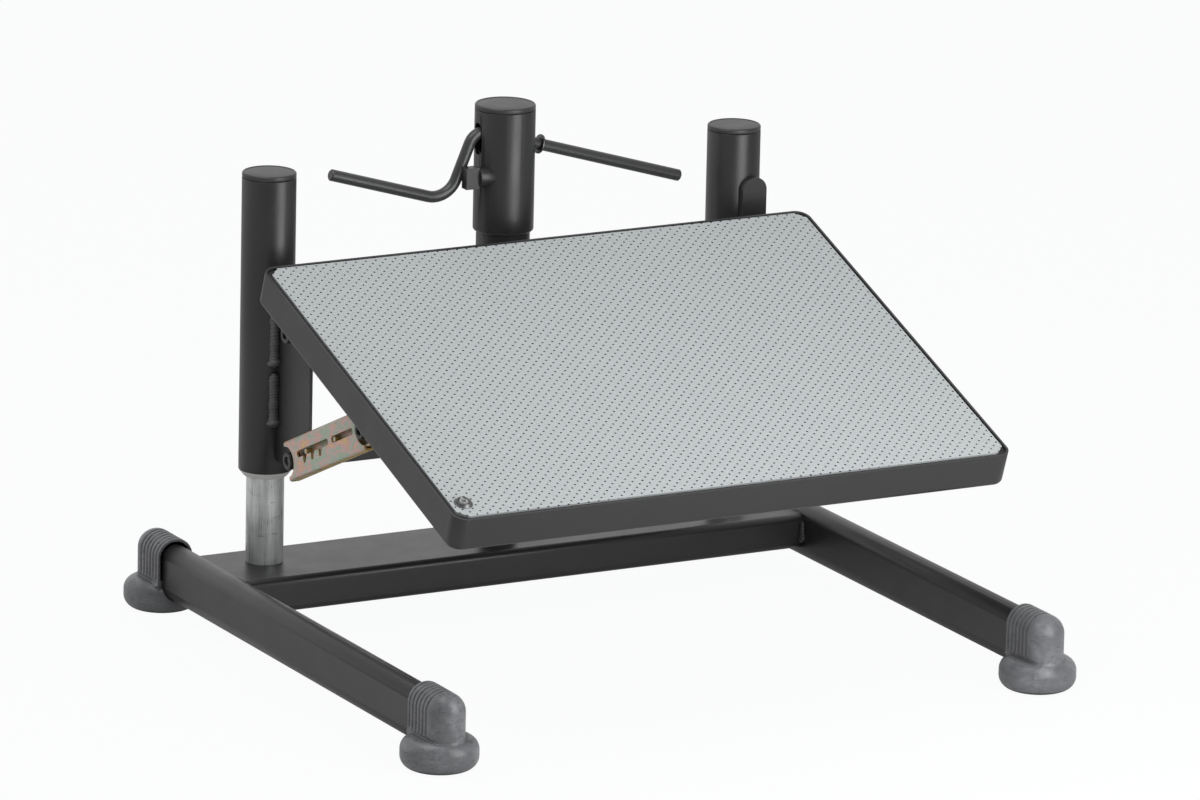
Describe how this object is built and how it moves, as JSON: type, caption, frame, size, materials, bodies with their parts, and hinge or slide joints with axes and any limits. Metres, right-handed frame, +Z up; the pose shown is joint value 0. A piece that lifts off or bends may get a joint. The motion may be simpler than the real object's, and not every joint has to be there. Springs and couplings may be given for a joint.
{
  "type": "tilting under desk footrest",
  "caption": "Heavy tilting footrest: a matted tray hinged on a carriage that slides up round posts, with ratchet struts and a release lever.",
  "frame": {"origin": "on the floor, at the middle of the four feet", "axes": "seen from the low front of the tray, +X runs to the right; +Y runs from the low front of the tray back to the columns; +Z is up"},
  "size_m": [0.6806, 0.6336, 0.4693],
  "materials": {
    "black_powder_coat": "fine-textured black powder coat, semi-matt",
    "foot_rubber": "dark grey mottled hard rubber with a low sheen",
    "galvanised_steel": "galvanised tube with long drawing marks and scuffs",
    "pale_nylon": "pale grey moulded nylon",
    "black_cap_plastic": "black moulded plastic, fine grain",
    "cylinder_paint": "smooth black paint",
    "bright_steel": "turned or pressed bright steel",
    "yellow_zinc": "yellow chromate zinc with faint rainbow patches",
    "board_wood": "pressed board stained black",
    "dotted_mat": "pale grey-green mat with small dark round pits in staggered rows"
  },
  "bodies": {
    "base": {"leg_left": "black_powder_coat", "leg_right": "black_powder_coat", "foot_front_left": "foot_rubber", "foot_front_right": "foot_rubber", "foot_rear_left": "foot_rubber", "foot_rear_right": "foot_rubber", "post_left": "galvanised_steel", "post_right": "galvanised_steel", "post_guide_left": "pale_nylon", "post_guide_right": "pale_nylon", "cross_beam": "black_powder_coat", "beam_welds": "black_powder_coat", "spring_socket": "black_powder_coat", "gas_cylinder": "cylinder_paint"},
    "carriage": {"tube_left": "black_powder_coat", "tube_right": "black_powder_coat", "bushing_left": "pale_nylon", "bushing_right": "pale_nylon", "cap_left": "black_cap_plastic", "cap_right": "black_cap_plastic", "crossbar_left": "black_powder_coat", "crossbar_right": "black_powder_coat", "side_plate_left": "black_powder_coat", "side_plate_right": "black_powder_coat", "hinge_tube_left": "black_powder_coat", "hinge_tube_right": "black_powder_coat", "tube_centre": "black_powder_coat", "head_sleeve": "black_powder_coat", "head_cap": "black_cap_plastic", "lever_block": "black_powder_coat", "plate_welds": "black_powder_coat", "front_bar": "black_powder_coat", "hinge_axles": "bright_steel", "strut_axles": "bright_steel", "piston_rod": "bright_steel", "rod_bridge": "bright_steel", "rod_nut": "bright_steel"},
    "lever": {"lever_rod": "black_powder_coat", "lever_ring": "bright_steel"},
    "release_pin": {"release_pin": "bright_steel"},
    "tray": {"tray_pan": "black_powder_coat", "tray_board": "board_wood", "tray_mat": "dotted_mat", "cup_washer": "bright_steel", "mat_screw": "bright_steel", "tray_rail_left": "black_powder_coat", "tray_rail_right": "black_powder_coat", "rail_screws": "bright_steel", "slider_axles": "bright_steel"},
    "strut_left": {"strut_tube_left": "black_powder_coat", "strut_channel_left": "yellow_zinc"},
    "slider_left": {"strut_slider_left": "yellow_zinc", "slider_tube_left": "black_powder_coat"},
    "strut_right": {"strut_tube_right": "black_powder_coat", "strut_channel_right": "yellow_zinc"},
    "slider_right": {"strut_slider_right": "yellow_zinc", "slider_tube_right": "black_powder_coat"}
  },
  "joints": [
    {"name": "height_slide", "type": "slide", "parent": "base", "child": "carriage", "axis": [0, 0, 1], "range_m": [-0.08, 0.11]},
    {"name": "tray_tilt", "type": "hinge", "parent": "carriage", "child": "tray", "pos_m": [0, 0.128, 0.2907], "axis": [-1, 0, 0], "range_deg": [0, 19.4]},
    {"name": "lever_press", "type": "hinge", "parent": "carriage", "child": "lever", "pos_m": [0.02538, 0.1955, 0.43038], "axis": [0, -1, 0], "range_deg": [0, 6], "stiffness_Nm_per_rad": 20, "springref_deg": -2.86},
    {"name": "pin_press", "type": "slide", "parent": "carriage", "child": "release_pin", "axis": [0, 0, -1], "range_m": [0, 0.003]},
    {"name": "strut_turn_left", "type": "hinge", "parent": "carriage", "child": "strut_left", "pos_m": [0, 0.1205, 0.1735], "axis": [-1, 0, 0], "range_deg": [0, 13.6]},
    {"name": "strut_extend_left", "type": "slide", "parent": "strut_left", "child": "slider_left", "axis": [0, -0.9125, 0.409], "range_m": [0, 0.0356]},
    {"name": "strut_turn_right", "type": "hinge", "parent": "carriage", "child": "strut_right", "pos_m": [0, 0.1205, 0.1735], "axis": [-1, 0, 0], "range_deg": [0, 13.6]},
    {"name": "strut_extend_right", "type": "slide", "parent": "strut_right", "child": "slider_right", "axis": [0, -0.9125, 0.409], "range_m": [0, 0.0356]}
  ],
  "couplings": [
    {"joint": "pin_press", "follows": "lever_press", "m_per_rad": 0.02538},
    {"joint": "strut_turn_left", "follows": "tray_tilt", "ratio": 0.7},
    {"joint": "strut_extend_left", "follows": "tray_tilt", "m_per_rad": 0.105},
    {"joint": "strut_turn_right", "follows": "tray_tilt", "ratio": 0.7},
    {"joint": "strut_extend_right", "follows": "tray_tilt", "m_per_rad": 0.105}
  ]
}
